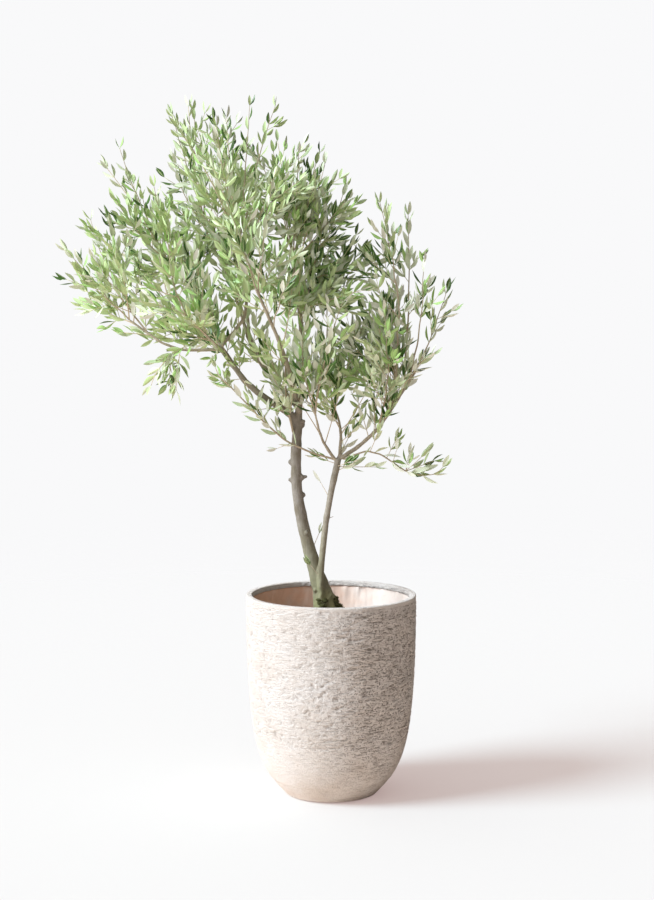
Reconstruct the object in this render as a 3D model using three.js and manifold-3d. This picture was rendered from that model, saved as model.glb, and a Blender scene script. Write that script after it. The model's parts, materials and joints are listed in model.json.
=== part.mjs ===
// Potted olive tree: one multi-stem tree in a tall egg-shaped rough-cast planter.
// Millimetres, +Z up. The origin is the centre of the planter's flat underside, +X is
// the side that the short second stem leans to, and -Y is the front.
import * as THREE from 'three';
import { mergeVertices } from 'three/addons/utils/BufferGeometryUtils.js';
import Module from 'manifold-3d';

const wasm = await Module();
wasm.setup();

// ---- driving dimensions -------------------------------------------------------------

const GAP = 0.3;                    // clearance left between two solids that touch
const LEAF_GAP = 2;                 // the same for foliage, whose edges are loose

const POT = {
  height: 474, rimRadius: 200, footRadius: 107,
  shoulderHeight: 410,              // above this the outside is a plain cylinder
  rimWidth: 13.5, rimRounding: 3,
  wall: 12, floor: 22, sides: 32,
  insideHeights: [50, 100, 180, 300, 393],
  bandDepth: 12,                    // the painted band inside the rim, above bare clay
};
const SOIL_HEIGHT = 400;

const TRUNK = { radius: 13.3, taper: 1.5, flare: 22, flareHeight: 70, stubRadius: 8 };
const STUB_START = 862;             // the cut leader thins above this height

const WOOD_COLOUR = 0x8d8676;
const LEAF_COLOUR = 0x8fa072;

// ---- solids ----------------------------------------------------------------------------

// A closed three.js geometry as a manifold solid.
function solidOf(geometry) {
  const bare = geometry.clone();
  bare.deleteAttribute('normal');
  bare.deleteAttribute('uv');
  const merged = mergeVertices(bare, 1e-3);
  return new wasm.Manifold(new wasm.Mesh({
    numProp: 3,
    vertProperties: new Float32Array(merged.attributes.position.array),
    triVerts: new Uint32Array(merged.index.array),
  }));
}

// A manifold solid back as a three.js geometry.
function geometryOf(solid) {
  const mesh = solid.getMesh();
  const geometry = new THREE.BufferGeometry();
  geometry.setAttribute('position', new THREE.Float32BufferAttribute(mesh.vertProperties, 3));
  geometry.setIndex(Array.from(mesh.triVerts));
  geometry.computeVertexNormals();
  return geometry;
}

// What is left of a solid after the others are cut away: its largest single body. Points
// closer than tidy to the surface without them are dropped.
function cutBy(solid, others, tidy) {
  let left = solid;
  for (const other of others) left = left.subtract(other);
  const bodies = left.simplify(tidy).decompose();
  return bodies.reduce((a, b) => (a.volume() > b.volume() ? a : b));
}

// A solid of revolution about Z from [radius, height] points that start and end on the axis.
function turned(outline, segments) {
  const points = outline.map(([r, z]) => new THREE.Vector2(r, z));
  return new THREE.LatheGeometry(points, segments).rotateX(Math.PI / 2);
}

// A round limb along a curve, closed at both ends. radiusAt takes the fraction along the
// limb and the angle round it, and overrun is how far the far end runs past the curve.
function limbGeometry(curve, steps, sides, radiusAt, overrun) {
  const tube = new THREE.TubeGeometry(curve, steps, 1, sides, false);
  const spots = tube.attributes.position;
  const farEnd = curve.getTangentAt(1).multiplyScalar(overrun);
  const point = new THREE.Vector3();
  for (let ring = 0; ring <= steps; ring += 1) {
    const centre = curve.getPointAt(ring / steps);
    for (let side = 0; side <= sides; side += 1) {
      const i = ring * (sides + 1) + side;
      const angle = (side % sides) / sides * 2 * Math.PI;
      point.fromBufferAttribute(spots, i).sub(centre);
      point.multiplyScalar(radiusAt(ring / steps, angle)).add(centre);
      if (ring === steps) point.add(farEnd);
      spots.setXYZ(i, point.x, point.y, point.z);
    }
  }
  const vertices = Array.from(spots.array);
  const faces = Array.from(tube.index.array);
  for (const ring of [0, steps]) {
    const centre = curve.getPointAt(ring / steps);
    if (ring === steps) centre.add(farEnd);
    const hub = vertices.length / 3;
    vertices.push(centre.x, centre.y, centre.z);
    for (let side = 0; side < sides; side += 1) {
      const a = ring * (sides + 1) + side;
      const pair = ring === 0 ? [a, a + 1] : [a + 1, a];
      faces.push(hub, ...pair);
    }
  }
  const geometry = new THREE.BufferGeometry();
  geometry.setAttribute('position', new THREE.Float32BufferAttribute(vertices, 3));
  geometry.setIndex(faces);
  return geometry;
}

// A smooth curve through [x, y, z] points.
function through(points) {
  return new THREE.CatmullRomCurve3(points.map((p) => new THREE.Vector3(...p)), false, 'centripetal');
}

// A foliage mass: an uneven plume from its foot to its tip, fuller towards the tip.
// across is its size seen from the front, deep its size along Y, and extra is added all round.
function plumeGeometry(foot, tip, across, deep, seed, extra) {
  const axis = new THREE.Vector3().subVectors(tip, foot);
  const half = axis.length() / 2 + extra;
  axis.normalize();
  const side = new THREE.Vector3().crossVectors(new THREE.Vector3(0, 1, 0), axis).normalize();
  const depth = new THREE.Vector3().crossVectors(axis, side);
  const centre = new THREE.Vector3().addVectors(foot, tip).multiplyScalar(0.5);
  const egg = new THREE.SphereGeometry(1, 9, 5).rotateX(Math.PI / 2);
  const spots = egg.attributes.position;
  const p = new THREE.Vector3();
  for (let i = 0; i < spots.count; i += 1) {
    p.fromBufferAttribute(spots, i);
    const along = p.z;
    const girth = 1 + 0.28 * along - 0.12 * along * along;
    const angle = Math.atan2(p.y, p.x);
    const lumps = Math.sin(3 * angle + seed) * 0.09 + Math.sin(5 * along + 2 * angle + 2.4 * seed) * 0.08;
    const width = girth * (1 + lumps);
    const spot = centre.clone()
      .addScaledVector(axis, along * half)
      .addScaledVector(side, p.x * (width * across / 2 + extra))
      .addScaledVector(depth, p.y * (width * deep / 2 + extra));
    spots.setXYZ(i, spot.x, spot.y, spot.z);
  }
  return egg;
}

// ---- planter, soil and moss -----------------------------------------------------------

const tree = new THREE.Group();

function addMesh(name, geometry, colour, roughness) {
  const material = new THREE.MeshStandardMaterial({ color: colour, roughness, metalness: 0 });
  const mesh = new THREE.Mesh(geometry, material);
  mesh.name = name;
  tree.add(mesh);
}

// The outside swells from the small foot to the full radius on one even curve.
const bowl = new THREE.CubicBezierCurve(
  new THREE.Vector2(POT.footRadius, 0),
  new THREE.Vector2(0.87 * POT.rimRadius, 0.16 * POT.shoulderHeight),
  new THREE.Vector2(0.98 * POT.rimRadius, 0.28 * POT.shoulderHeight),
  new THREE.Vector2(POT.rimRadius, POT.shoulderHeight),
);

// The radius of the outside at a height, read off the same curve.
function outsideRadius(z) {
  if (z >= POT.shoulderHeight) return POT.rimRadius;
  let low = 0;
  let high = 1;
  for (let i = 0; i < 30; i += 1) {
    const middle = (low + high) / 2;
    if (bowl.getPoint(middle).y < z) low = middle;
    else high = middle;
  }
  return bowl.getPoint(low).x;
}

function potOutline() {
  const inside = POT.rimRadius - POT.rimWidth;
  const bandFoot = POT.height - POT.bandDepth;
  const outline = [[0, 0]];
  for (const p of bowl.getPoints(7)) outline.push([p.x, p.y]);
  outline.push([POT.rimRadius, POT.height - POT.rimRounding]);
  outline.push([POT.rimRadius - POT.rimRounding, POT.height]);
  outline.push([inside, POT.height]);
  outline.push([inside, bandFoot]);
  outline.push([POT.rimRadius - POT.wall, bandFoot]);
  for (const z of POT.insideHeights.toReversed()) outline.push([outsideRadius(z) - POT.wall, z]);
  outline.push([outsideRadius(POT.floor) - POT.wall - 6, POT.floor]);
  outline.push([0, POT.floor]);
  return outline;
}

function soilOutline() {
  const clear = POT.wall + GAP;
  const floor = POT.floor + GAP;
  const outline = [[0, floor], [outsideRadius(POT.floor) - POT.wall - 6 - GAP, floor]];
  for (const z of POT.insideHeights) outline.push([outsideRadius(z) - clear, z]);
  outline.push([0.55 * POT.rimRadius, SOIL_HEIGHT], [0, SOIL_HEIGHT]);
  return outline;
}

addMesh('pot', turned(potOutline(), POT.sides), 0xe4dbd0, 0.95);
addMesh('soil', turned(soilOutline(), POT.sides), 0x4a3a2c, 1);

// ---- wood --------------------------------------------------------------------------------

// Every finished wood solid with a slightly fatter copy of it, which later solids are cut by.
const wood = [];
const limbs = {};

function addWood(name, curve, steps, sides, radiusAt, extraCuts = []) {
  const grownBy = (extra) => solidOf(limbGeometry(
    curve, steps, sides, (u, angle) => radiusAt(u, angle) + extra, extra,
  ));
  const body = grownBy(0);
  const cuts = wood.map((piece) => piece.fat).concat(extraCuts);
  addMesh(name, geometryOf(cutBy(body, cuts, GAP / 3)), WOOD_COLOUR, 0.9);
  wood.push({ fat: grownBy(GAP), loose: grownBy(LEAF_GAP) });
  limbs[name] = curve;
}

// The ground under the trunk, which gives it its flat cut.
const ground = solidOf(new THREE.BoxGeometry(400, 400, 60)
  .translate(0, 0, SOIL_HEIGHT + GAP - 30));

// The main trunk leans left out of the planter, straightens, and ends in a sawn stub.
const trunkCurve = through([
  [-8, 2, SOIL_HEIGHT - 8], [-14, 0, 450], [-38, 0, 532], [-62, 0, 620],
  [-79, 0, 715], [-82, 0, 810], [-77, 0, 880], [-73, 0, 938],
]);

function trunkRadius(u, angle) {
  const z = trunkCurve.getPointAt(u).z;
  const flare = TRUNK.flare * Math.exp((SOIL_HEIGHT - z) / TRUNK.flareHeight);
  const stub = Math.min(Math.max((z - STUB_START) / 30, 0), 1);
  const plain = TRUNK.radius - TRUNK.taper * u;
  return plain + (TRUNK.stubRadius - plain) * stub + flare * (1 + 0.22 * Math.cos(3 * angle + 1));
}

addWood('trunk', trunkCurve, 18, 10, trunkRadius, [ground]);

// The second stem parts from the trunk's foot, passes in front of it and leans right.
const secondCurve = through([
  [-18, -14, 455], [-25, -20, 510], [-21, -20, 565], [-13, -14, 640],
  [-2, -7, 703], [8, -2, 755], [19, 0, 792],
]);
addWood('second_stem', secondCurve, 10, 7, (u) => 8.5 - 5.5 * u + 5 * u * u, [ground]);

// A bough or lesser limb. It starts on its parent, at a fraction of the parent's length,
// bends once through its middle point, and thins evenly from one radius to the other.
function addLimb(name, parent, at, middle, end, startRadius, endRadius) {
  const root = limbs[parent].getPointAt(at);
  const curve = through([root.toArray(), middle, end]);
  addWood(name, curve, 5, 5, (u) => startRadius + (endRadius - startRadius) * u);
}

addLimb('bough_left', 'trunk', 0.905, [-190, -18, 965], [-256, -30, 1056], 8, 6);
addLimb('bough_middle', 'trunk', 0.955, [-155, 12, 1003], [-196, 30, 1082], 6.5, 5.5);
addLimb('bough_leader', 'trunk', 0.985, [-70, 15, 1080], [-90, 20, 1262], 6, 3.5);
addLimb('bough_front', 'trunk', 0.93, [-105, -110, 1035], [-168, -188, 1190], 6, 3);
addLimb('bough_back', 'trunk', 0.94, [-66, 105, 1030], [-78, 195, 1185], 6, 3);
addLimb('shoot_trunk', 'trunk', 0.8, [-103, -26, 925], [-106, -42, 1020], 2.6, 1.8);
addLimb('limb_left_low', 'bough_left', 0.97, [-362, -40, 1052], [-465, -42, 1118], 4, 2.4);
addLimb('limb_left_high', 'bough_left', 1, [-292, -18, 1162], [-378, 0, 1250], 3.6, 2.4);
addLimb('limb_left_front', 'bough_left', 0.9, [-270, -100, 1070], [-325, -170, 1130], 3.2, 2.4);
addLimb('limb_left_back', 'bough_left', 0.84, [-290, 70, 1075], [-398, 168, 1162], 3.6, 2.4);
addLimb('limb_top', 'bough_left', 1, [-196, -30, 1132], [-212, -30, 1250], 4.2, 2.6);
addLimb('limb_middle_up', 'bough_middle', 1, [-232, 50, 1192], [-292, 62, 1318], 4, 2.6);
addLimb('limb_middle_back', 'bough_middle', 0.96, [-205, 125, 1170], [-234, 190, 1285], 4, 2.6);
addLimb('twig_left', 'second_stem', 0.99, [-98, -26, 832], [-245, -50, 978], 2.6, 1.5);
addLimb('shoot_inner', 'second_stem', 0.97, [-20, -20, 838], [-40, -58, 918], 3.8, 2.2);
addLimb('shoot_middle', 'second_stem', 1, [22, 22, 862], [2, 58, 925], 4.2, 2.4);
addLimb('bough_right', 'second_stem', 1, [96, 0, 848], [195, 0, 995], 5, 3);
addLimb('sprig_right', 'second_stem', 0.98, [92, -6, 812], [175, -8, 764], 2.2, 1.5);

// ---- foliage -----------------------------------------------------------------------------

const grown = [];
const counts = {};

// A foliage mass. It stands on a limb, at a fraction of the limb's length, and reaches to
// its tip, across wide seen from the front and deep along Y. It is cut round all the wood
// and round the masses before it.
function addLeaves(limb, at, tip, across, deep) {
  const foot = limbs[limb].getPointAt(at);
  const seed = grown.length;
  const plume = (extra) => solidOf(
    plumeGeometry(foot, new THREE.Vector3(...tip), across, deep, seed, extra),
  );
  counts[limb] = (counts[limb] || 0) + 1;
  const cuts = wood.map((piece) => piece.loose).concat(grown);
  const mass = cutBy(plume(0), cuts, LEAF_GAP / 4);
  addMesh(`leaves_${limb}_${counts[limb]}`, geometryOf(mass), LEAF_COLOUR, 0.8);
  grown.push(plume(LEAF_GAP));
}

addLeaves('limb_left_low', 1, [-625, -40, 1298], 115, 105);
addLeaves('limb_left_low', 0.9, [-606, 60, 1160], 90, 85);
addLeaves('limb_left_low', 0.75, [-575, 42, 1376], 115, 95);
addLeaves('limb_left_low', 0.45, [-432, -62, 942], 110, 75);
addLeaves('limb_left_high', 0.95, [-510, -60, 1412], 120, 95);
addLeaves('limb_left_high', 1, [-500, 5, 1540], 62, 60);
addLeaves('limb_left_high', 0.8, [-408, -100, 1446], 120, 90);
addLeaves('limb_left_front', 1, [-450, -225, 1168], 110, 85);
addLeaves('limb_left_front', 0.95, [-362, -240, 1346], 130, 90);
addLeaves('limb_left_back', 1, [-516, 200, 1320], 120, 90);
addLeaves('limb_left_back', 0.95, [-420, 262, 1412], 125, 90);
addLeaves('limb_top', 1, [-184, -30, 1636], 115, 90);
addLeaves('limb_top', 0.9, [-124, 40, 1640], 90, 85);
addLeaves('limb_top', 0.75, [-262, -110, 1582], 120, 90);
addLeaves('limb_middle_up', 0.95, [-378, 20, 1622], 120, 90);
addLeaves('limb_middle_up', 1, [-326, 70, 1636], 130, 90);
addLeaves('limb_middle_back', 1, [-222, 225, 1510], 145, 95);
addLeaves('bough_leader', 1, [-72, -60, 1526], 120, 90);
addLeaves('bough_leader', 0.9, [-20, 62, 1536], 115, 90);
addLeaves('bough_leader', 0.75, [46, 20, 1452], 115, 90);
addLeaves('bough_front', 1, [-240, -205, 1408], 130, 85);
addLeaves('bough_front', 0.95, [-130, -192, 1428], 125, 85);
addLeaves('bough_front', 0.7, [-78, -285, 1235], 120, 85);
addLeaves('bough_back', 1, [-52, 240, 1456], 130, 90);
addLeaves('bough_back', 0.8, [36, 262, 1288], 125, 90);
addLeaves('shoot_trunk', 0.7, [-152, -62, 1072], 60, 55);
addLeaves('twig_left', 0.9, [-285, -64, 1032], 55, 50);
addLeaves('shoot_inner', 1, [-60, -112, 1152], 115, 85);
addLeaves('shoot_inner', 0.85, [32, -172, 1186], 120, 85);
addLeaves('shoot_middle', 1, [2, 112, 1306], 130, 90);
addLeaves('bough_right', 0.42, [116, -188, 1166], 125, 90);
addLeaves('bough_right', 0.52, [150, 190, 1235], 130, 90);
addLeaves('bough_right', 0.62, [110, -40, 1415], 125, 90);
addLeaves('bough_right', 0.8, [182, 70, 1392], 120, 90);
addLeaves('bough_right', 0.9, [216, -50, 1277], 115, 85);
addLeaves('bough_right', 1, [280, 0, 1216], 90, 85);
addLeaves('bough_right', 0.72, [245, -92, 1062], 100, 80);
addLeaves('sprig_right', 1, [292, 0, 776], 70, 60);

export default tree;
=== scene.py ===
import json
from math import cos, hypot, pi, radians, sin, sqrt
import bmesh
import bpy
import numpy as np
from numpy.linalg import norm, svd
from numpy.random import default_rng
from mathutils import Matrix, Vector, noise
from mathutils.bvhtree import BVHTree


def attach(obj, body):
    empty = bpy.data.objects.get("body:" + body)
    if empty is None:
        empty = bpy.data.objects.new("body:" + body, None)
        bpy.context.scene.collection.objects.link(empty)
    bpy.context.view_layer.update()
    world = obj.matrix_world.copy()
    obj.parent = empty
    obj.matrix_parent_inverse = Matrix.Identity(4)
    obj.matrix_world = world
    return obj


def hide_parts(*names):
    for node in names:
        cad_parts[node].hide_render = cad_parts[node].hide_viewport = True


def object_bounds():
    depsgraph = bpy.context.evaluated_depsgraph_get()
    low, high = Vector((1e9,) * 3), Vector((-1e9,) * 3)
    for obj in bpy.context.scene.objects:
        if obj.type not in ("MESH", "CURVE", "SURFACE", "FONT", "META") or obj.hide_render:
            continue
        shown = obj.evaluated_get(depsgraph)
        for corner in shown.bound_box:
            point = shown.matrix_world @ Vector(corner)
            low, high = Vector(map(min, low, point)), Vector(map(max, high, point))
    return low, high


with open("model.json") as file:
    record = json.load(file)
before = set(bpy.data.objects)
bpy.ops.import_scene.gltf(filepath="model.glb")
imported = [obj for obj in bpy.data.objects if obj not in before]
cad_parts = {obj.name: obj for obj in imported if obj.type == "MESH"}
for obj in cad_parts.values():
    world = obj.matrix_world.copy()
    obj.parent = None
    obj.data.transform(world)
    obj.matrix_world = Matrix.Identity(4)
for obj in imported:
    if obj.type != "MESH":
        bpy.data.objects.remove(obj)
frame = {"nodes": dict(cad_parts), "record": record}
cad_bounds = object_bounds()
noise.seed_set(3)  # its vectors start from the clock otherwise


# ---- Shared steps ----
# Short ways to make objects, shader nodes and lines, used by every section below. Colours
# are hex codes, lengths are metres, and a line is an array with one point to a row.
def placed(name, data):
    """A new object in the scene."""
    made = bpy.data.objects.new(name, data)
    bpy.context.scene.collection.objects.link(made)
    return made


def linear(code):
    """An sRGB hex colour as linear RGBA."""
    parts = [int(code[i:i + 2], 16) / 255 for i in (0, 2, 4)]
    return [c / 12.92 if c <= 0.04045 else ((c + 0.055) / 1.055) ** 2.4 for c in parts] + [1]


def add_node(tree, kind, settings=None, **links):
    """A new shader node with its settings and inputs. An input takes a value or a socket,
    and its name is written with underscores."""
    made = tree.nodes.new(kind)
    for key, value in (settings or {}).items():
        setattr(made, key, value)
    for key, value in links.items():
        number = int(key[1:]) if key[1:].isdigit() else None
        socket = made.inputs[number if number is not None else key.replace("_", " ")]
        if isinstance(value, bpy.types.NodeSocket):
            tree.links.new(value, socket)
        else:
            socket.default_value = value
    return made


def new_material(name):
    """An empty node material and its tree."""
    material = bpy.data.materials.new(name)
    material.use_nodes = True
    material.node_tree.nodes.clear()
    return material, material.node_tree


def times(tree, a, b, plus=None):
    """One value times another, and plus a third if it's given."""
    if plus is None:
        return add_node(tree, "ShaderNodeMath", {"operation": "MULTIPLY"}, i0=a, i1=b).outputs[0]
    return add_node(tree, "ShaderNodeMath", {"operation": "MULTIPLY_ADD"}, i0=a, i1=b, i2=plus).outputs[0]


def remapped(tree, value, from_low, from_high, to_low, to_high):
    """A value stretched from one range to another, and held at its ends."""
    return add_node(tree, "ShaderNodeMapRange", Value=value, From_Min=from_low, From_Max=from_high,
                    To_Min=to_low, To_Max=to_high).outputs[0]


def cloudy(tree, place, scale, detail, roughness=0.5):
    """A noise texture node."""
    return add_node(tree, "ShaderNodeTexNoise", Vector=place, Scale=scale, Detail=detail,
                    Roughness=roughness)


def ramped(tree, amount, low, low_code, high, high_code):
    """A colour that turns from one to another between two amounts."""
    made = add_node(tree, "ShaderNodeValToRGB", Fac=amount)
    for stop, position, code in zip(made.color_ramp.elements, (low, high), (low_code, high_code)):
        stop.position = position
        stop.color = linear(code)
    return made.outputs["Color"]


def blended(tree, amount, first, second):
    """The first colour where the amount is 0, the second where it is 1."""
    return add_node(tree, "ShaderNodeMix", {"data_type": "RGBA"}, i0=amount, i6=first,
                    i7=second).outputs["Result"]


def surfaced(tree, colour, roughness, relief=None, specular=0.5):
    """The end of a material: its colour and roughness, and relief as (height, strength, metres)."""
    surface = add_node(tree, "ShaderNodeBsdfPrincipled", Base_Color=colour, Roughness=roughness,
                       Specular_IOR_Level=specular)
    if relief:
        bump = add_node(tree, "ShaderNodeBump", Height=relief[0], Strength=relief[1], Distance=relief[2])
        tree.links.new(bump.outputs[0], surface.inputs["Normal"])
    add_node(tree, "ShaderNodeOutputMaterial", Surface=surface.outputs[0])


def run_along(points):
    """How far each point of a line is from its start, along the line."""
    return np.concatenate([[0], np.cumsum(norm(np.diff(points, axis=0), axis=1))])


def at_mark(mark, run, rows):
    """The row of a line at one distance from its start."""
    return np.array([np.interp(mark, run, rows[:, k]) for k in range(3)])


def directions(points):
    """The direction of a line at each of its points."""
    ways = np.gradient(points, axis=0)
    return ways / norm(ways, axis=1)[:, None]


def node_points(name):
    """The corner points of a CAD node."""
    mesh = frame["nodes"][name].data
    points = np.empty(len(mesh.vertices) * 3)
    mesh.vertices.foreach_get("co", points)
    return points.reshape(-1, 3)


def far_ends(points):
    """The two corner points of a CAD node that are farthest apart along its length."""
    spread = points - points.mean(axis=0)
    way = svd(spread, full_matrices=False)[2][0]
    return points[np.argmin(spread @ way)], points[np.argmax(spread @ way)]


def edge_ends(mesh):
    """The numbers of the corners at the first and second end of every edge."""
    ends = np.empty(len(mesh.edges) * 2, int)
    mesh.edges.foreach_get("vertices", ends)
    return ends[0::2], ends[1::2]


def ball(subdivisions):
    """Corner points and faces of a ball one metre in radius."""
    shape = bmesh.new()
    bmesh.ops.create_icosphere(shape, subdivisions=subdivisions, radius=1)
    points = np.array([vert.co[:] for vert in shape.verts])
    faces = [[vert.index for vert in face.verts] for face in shape.faces]
    shape.free()
    return points, faces


# ---- Camera ----
# A longish lens four metres in front of the plant, held a little below the middle of its
# crown and tipped down a few degrees, so the planter's mouth shows as a narrow ellipse.
LENS = 68.66  # millimetres
CAMERA_SPOT = (-0.0096, -4.0, 1.16)
CAMERA_TIP = 4.95  # degrees down

camera_data = bpy.data.cameras.new("camera")
camera_data.lens = LENS
camera = placed("camera", camera_data)
camera.location = CAMERA_SPOT
camera.rotation_euler = (radians(90 - CAMERA_TIP), 0, 0)
bpy.context.scene.camera = camera


# ---- Studio ----
# A near-white sweep with one soft sun from the left and a little in front. The rest of
# the light is a wide glow that is stronger from the left and above than from the right,
# and the floor throws a warm light back up at the plant. The floor also glows pink for the
# camera alone, painted light that lifts its cast shadows and tints them pink.
SUN_BEARING = radians(20)  # how far the sun stands towards the front
SUN_HEIGHT = radians(35)
SUN_STRENGTH = 4.6
BACKDROP = "F9F9FA"
SUN_SOFTNESS = 0.44  # radians across the sun
GLOW = 0.5  # strength of the glow straight ahead
GLOW_ACROSS = -0.55  # change in it from the middle to the far right
GLOW_UPWARDS = 0.15  # change in it from the horizon to overhead
FLOOR_REACH = 5.5  # metres, where the floor has faded into the backdrop
FADE_START = 1.2  # metres, where it starts to fade
FLOOR_BOUNCE = "EFDCCC"  # what the floor throws back
FLOOR_FACE = "B0BBBA"  # what the camera sees lit, a little cyan, on top of the floor's painted glow
# painted light: a pink glow that only the camera sees, which lightens the floor's cast shadows and turns
# them pink
FLOOR_GLOW = "AA9592"

world = bpy.data.worlds.new("studio")
bpy.context.scene.world = world
world.use_nodes = True
tree = world.node_tree
tree.nodes.clear()
direction = add_node(tree, "ShaderNodeTexCoord").outputs["Generated"]
parts = add_node(tree, "ShaderNodeSeparateXYZ", Vector=direction)
sideways = times(tree, parts.outputs["X"], GLOW_ACROSS, GLOW)
upwards = times(tree, parts.outputs["Z"], GLOW_UPWARDS, sideways)
glow = add_node(tree, "ShaderNodeBackground", Color=linear("FFF6F3"), Strength=upwards)
plain = add_node(tree, "ShaderNodeBackground", Color=linear(BACKDROP), Strength=1.0)
seen = add_node(tree, "ShaderNodeLightPath").outputs["Is Camera Ray"]
mixed = add_node(tree, "ShaderNodeMixShader", i0=seen, i1=glow.outputs[0], i2=plain.outputs[0])
add_node(tree, "ShaderNodeOutputWorld", Surface=mixed.outputs[0])

sun_data = bpy.data.lights.new("sun", "SUN")
sun_data.energy = SUN_STRENGTH
sun_data.angle = SUN_SOFTNESS
sun_data.color = linear("E9F6FF")[:3]
sun = placed("sun", sun_data)
towards_sun = Vector((-cos(SUN_HEIGHT) * cos(SUN_BEARING),
                      -cos(SUN_HEIGHT) * sin(SUN_BEARING),
                      sin(SUN_HEIGHT)))
sun.rotation_euler = towards_sun.to_track_quat("Z", "Y").to_euler()

floor_mesh = bpy.data.meshes.new("floor")
shape = bmesh.new()
bmesh.ops.create_circle(shape, cap_ends=True, segments=96, radius=FLOOR_REACH)
shape.to_mesh(floor_mesh)
shape.free()
floor = placed("floor", floor_mesh)
material, tree = new_material("studio floor, matt white with a painted glow")
place = add_node(tree, "ShaderNodeTexCoord").outputs["Object"]
reach = add_node(tree, "ShaderNodeVectorMath", {"operation": "LENGTH"}, i0=place)
fade = add_node(tree, "ShaderNodeMapRange", {"interpolation_type": "SMOOTHSTEP"},
                Value=reach.outputs["Value"], From_Min=FADE_START, From_Max=FLOOR_REACH - 0.5,
                To_Min=0.0, To_Max=1.0)
seen = add_node(tree, "ShaderNodeLightPath").outputs["Is Camera Ray"]
matt = add_node(tree, "ShaderNodeBsdfDiffuse",
                Color=blended(tree, seen, linear(FLOOR_BOUNCE), linear(FLOOR_FACE)))
# painted light: the floor glows for the camera alone, which lifts its cast shadows and tints them pink
lift = add_node(tree, "ShaderNodeEmission", Color=linear(FLOOR_GLOW), Strength=seen)
white = add_node(tree, "ShaderNodeAddShader", i0=matt.outputs[0], i1=lift.outputs[0])
clear = add_node(tree, "ShaderNodeBsdfTransparent")
mixed = add_node(tree, "ShaderNodeMixShader", i0=fade.outputs[0], i1=white.outputs[0],
                 i2=clear.outputs[0])
add_node(tree, "ShaderNodeOutputMaterial", Surface=mixed.outputs[0])
floor_mesh.materials.append(material)

scene = bpy.context.scene
scene.view_settings.view_transform = "Standard"
scene.view_settings.look = "None"


# ---- Planter ----
# A tall egg-shaped planter in fired clay, brushed outside with a coarse cream rough-cast
# that has dragged into sideways wrinkles. Painted shade darkens its cracks and low hollows,
# most on the right, away from the sun. The coat turns over the flat rim and stops a
# finger's width down inside, on a small step. Below it the clay is bare terracotta, painted
# paler on the right where the sun falls on the inside wall, and deeper on the shaded left.
POT_SIDES = 360
FOOT_GAP = 0.003  # height of a small recess under the coat's lower edge, set back from it
ROUGHCAST_STEP = 0.0024  # metres between rows of the outside
RIM_ROUNDING = 0.0025
RELIEF = 0.003  # height of the coat's wrinkles
PRESSED = (95, 95, 120)  # wrinkles to the metre, across and up, on the left
PULLED = (34, 34, 190)  # and on the right, where they run sideways
DRAG_STARTS, DRAG_WIDTH = -0.03, 0.11  # where along X one turns into the other
GRAIN_DEPTH = 0.005  # metres of bump in the finest grain
# the colour of the painted shade in the coat's cracks and low hollows
COAT_CREVICE_SHADE = "765E4A"


def smooth_line(points, spacing):
    """An even Catmull-Rom line through points of any dimension."""
    knots = np.array(points, float)
    padded = np.vstack([2 * knots[0] - knots[1], knots, 2 * knots[-1] - knots[-2]])
    fine = []
    for i in range(len(knots) - 1):
        a, b, c, d = padded[i:i + 4]
        for t in np.linspace(0, 1, 24, endpoint=False):
            fine.append(0.5 * (2 * b + (c - a) * t + (2 * a - 5 * b + 4 * c - d) * t * t
                               + (3 * b - a - 3 * c + d) * t ** 3))
    fine = np.array(fine + [knots[-1]])
    run = run_along(fine)
    count = max(int(round(run[-1] / spacing)), 1) + 1
    marks = np.linspace(0, run[-1], count)
    return np.stack([np.interp(marks, run, fine[:, k]) for k in range(fine.shape[1])], axis=1)


def arc(centre, radius, start, end, steps=4):
    """Points [r, z] on a round corner, angles in degrees."""
    angles = np.radians(np.linspace(start, end, steps + 1))
    return [[centre[0] + radius * cos(a), centre[1] + radius * sin(a)] for a in angles]


def spun(outline, sides):
    """A bmesh turned about Z from [r, z] points that start and end on the axis."""
    shape = bmesh.new()
    turn = np.linspace(0, 2 * pi, sides, endpoint=False)
    rings = [[shape.verts.new((r * cos(a), r * sin(a), z)) for a in turn]
             for r, z in outline[1:-1]]
    for low, high in zip(rings, rings[1:]):
        for k in range(sides):
            shape.faces.new((low[k - 1], low[k], high[k], high[k - 1]))
    for ring, (_, z) in ((rings[0], outline[0]), (rings[-1], outline[-1])):
        pole = shape.verts.new((0, 0, z))
        for k in range(sides):
            shape.faces.new((ring[k], ring[k - 1], pole))
    bmesh.ops.recalc_face_normals(shape, faces=shape.faces)
    return shape


def piece_from(shape, name, materials):
    """A smooth-shaded object from a bmesh, linked to the scene."""
    mesh = bpy.data.meshes.new(name)
    shape.to_mesh(mesh)
    shape.free()
    for item in materials:
        mesh.materials.append(item)
    mesh.shade_smooth()
    return placed(name, mesh)


def profile(name):
    """The [r, z] corners of a turned CAD node, lowest first, with those on the axis left out."""
    points = node_points(name)
    radii = np.round(np.hypot(points[:, 0], points[:, 1]), 4)
    corners = {(z, r) for r, z in zip(radii, np.round(points[:, 2], 4)) if r > 0.001}
    return [[float(r), float(z)] for z, r in sorted(corners)]


corners = profile("pot")
skin = []
for r, z in corners:
    while len(skin) > 1 and ((skin[-1][0] - skin[-2][0]) * (z - skin[-2][1])
                             < (skin[-1][1] - skin[-2][1]) * (r - skin[-2][0])):
        skin.pop()
    skin.append([r, z])
lining = [p for p in reversed(corners) if p not in skin]
rim_inside, rim_height = lining[0]
clay_corner = max(lining[1:3], key=lambda corner: corner[0])
band_foot = clay_corner[1]
foot_radius = skin[0][0]
rim_radius = skin[-2][0]

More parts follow.
